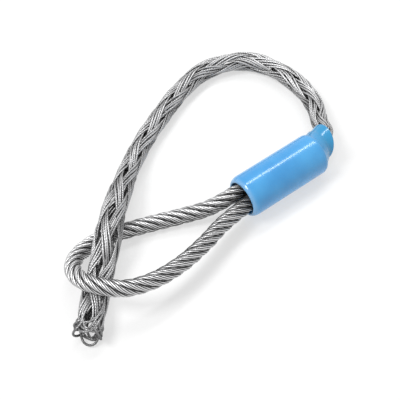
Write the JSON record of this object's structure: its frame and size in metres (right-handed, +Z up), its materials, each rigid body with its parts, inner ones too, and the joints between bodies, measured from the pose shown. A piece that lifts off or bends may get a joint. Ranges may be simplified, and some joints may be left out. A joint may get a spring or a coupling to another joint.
{
  "type": "cable pulling grip",
  "caption": "Woven wire sock and wire rope eye joined in one pressed ferrule under a plastic cover, lying in a loose loop.",
  "frame": {"origin": "on the floor, under the middle of the outline", "axes": "+Z up, +Y away from the open mouth of the sock, +X towards the sleeve"},
  "size_m": [0.1284, 0.172, 0.0217],
  "materials": {
    "rope_wire": "galvanised wire",
    "core_wire": "galvanised wire",
    "mesh_wire": "galvanised wire",
    "ferrule": "pressed",
    "cover": "gloss"
  },
  "bodies": {
    "root": {"eye_strand_1": "rope_wire", "eye_strand_2": "rope_wire", "eye_strand_3": "rope_wire", "eye_strand_4": "rope_wire", "eye_strand_5": "rope_wire", "eye_strand_6": "rope_wire", "eye_core": "core_wire", "ferrule": "ferrule", "cover": "cover", "mesh_ribbon_1": "mesh_wire", "mesh_ribbon_2": "mesh_wire", "mesh_ribbon_3": "mesh_wire", "mesh_ribbon_4": "mesh_wire"}
  },
  "joints": []
}
